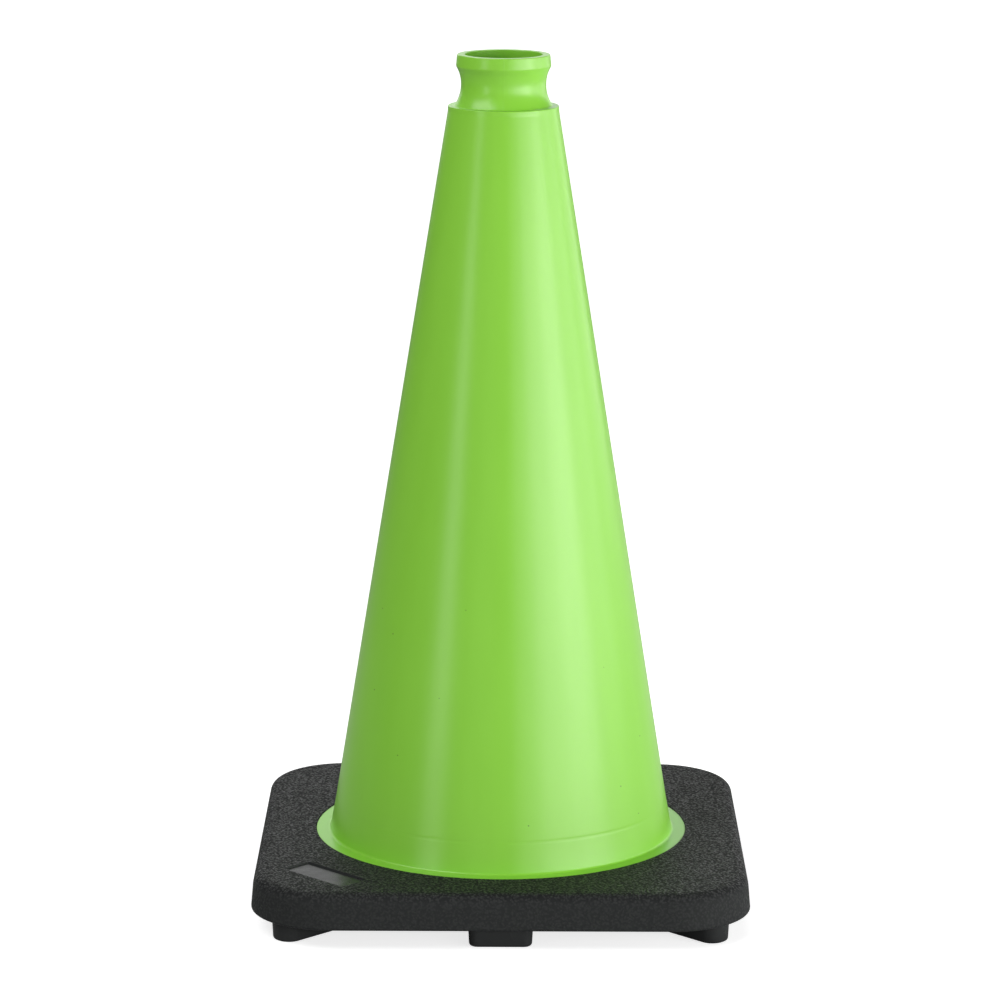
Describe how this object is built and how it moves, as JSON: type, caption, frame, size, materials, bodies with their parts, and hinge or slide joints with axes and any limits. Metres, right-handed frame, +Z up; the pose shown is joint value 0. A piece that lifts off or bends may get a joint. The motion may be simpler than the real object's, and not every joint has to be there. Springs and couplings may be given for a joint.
{
  "type": "traffic cone",
  "caption": "Flexible tapered marker cone with a grab collar and open top, moulded into a heavy square base with rounded corners and low feet.",
  "frame": {"origin": "on the ground, at the centre of the base, under the axis of the cone", "axes": "+Z up along the cone's axis, -Y towards the front, +X to the right seen from the front; the label recess is on the front left corner of the base"},
  "size_m": [0.2668, 0.2668, 0.4572],
  "materials": {
    "cone_green": "gloss",
    "base_black": "matte"
  },
  "bodies": {
    "root": {"cone_body": "cone_green", "weighted_base": "base_black"}
  },
  "joints": []
}
